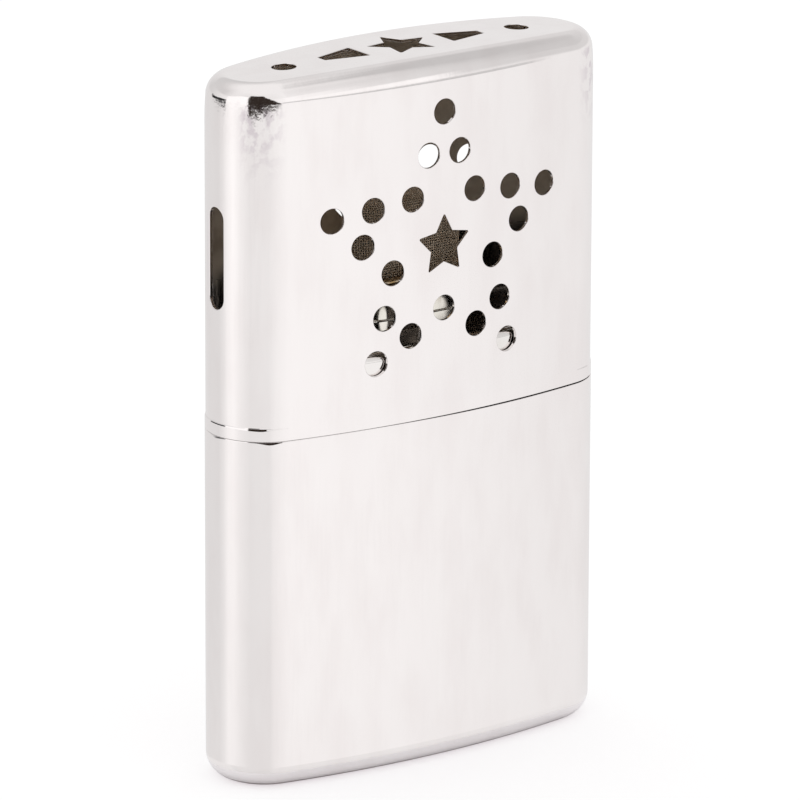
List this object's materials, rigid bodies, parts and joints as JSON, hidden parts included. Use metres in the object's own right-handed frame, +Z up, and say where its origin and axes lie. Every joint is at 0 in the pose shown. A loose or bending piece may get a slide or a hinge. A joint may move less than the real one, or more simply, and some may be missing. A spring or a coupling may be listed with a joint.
{
  "type": "catalytic hand warmer",
  "caption": "Flat oval pocket hand warmer: drawn metal fuel tank, slip-on cap pierced with a star of round holes, and a lift-off catalytic burner inside.",
  "frame": {"origin": "middle of the flat base that the tank stands on", "axes": "+Z up through the cap, +X across the wide face to the right as seen from the front, front face looks along -Y"},
  "size_m": [0.062, 0.0206, 0.1003],
  "materials": {
    "case_nickel": "bright nickel plate over fine upright polishing lines",
    "neck_nickel": "bright nickel plate",
    "cotton_wadding": "loose cotton wadding",
    "wool_felt": "dense white felt",
    "burner_nickel": "bright nickel plate",
    "burner_steel": "plain stamped stainless steel",
    "steel_gauze": "woven stainless gauze, browned by heat",
    "glass_fibre": "matted glass fibre, grey with catalyst"
  },
  "bodies": {
    "tank": {"tank_shell": "case_nickel", "neck_sleeve": "neck_nickel", "filler_mouth": "neck_nickel", "cotton_fill": "cotton_wadding", "wick_pad": "wool_felt"},
    "burner": {"burner_skirt": "burner_nickel", "burner_plate": "burner_steel", "cage_ring": "burner_steel", "gauze_cage": "steel_gauze", "catalyst_mat": "glass_fibre"},
    "cap": {"cap_shell": "case_nickel"}
  },
  "joints": [
    {"name": "cap_lift", "type": "slide", "parent": "tank", "child": "cap", "axis": [0, 0, 1], "range_m": [0, 0.04]},
    {"name": "burner_pull", "type": "slide", "parent": "tank", "child": "burner", "axis": [0, 0, 1], "range_m": [0, 0.012]}
  ]
}
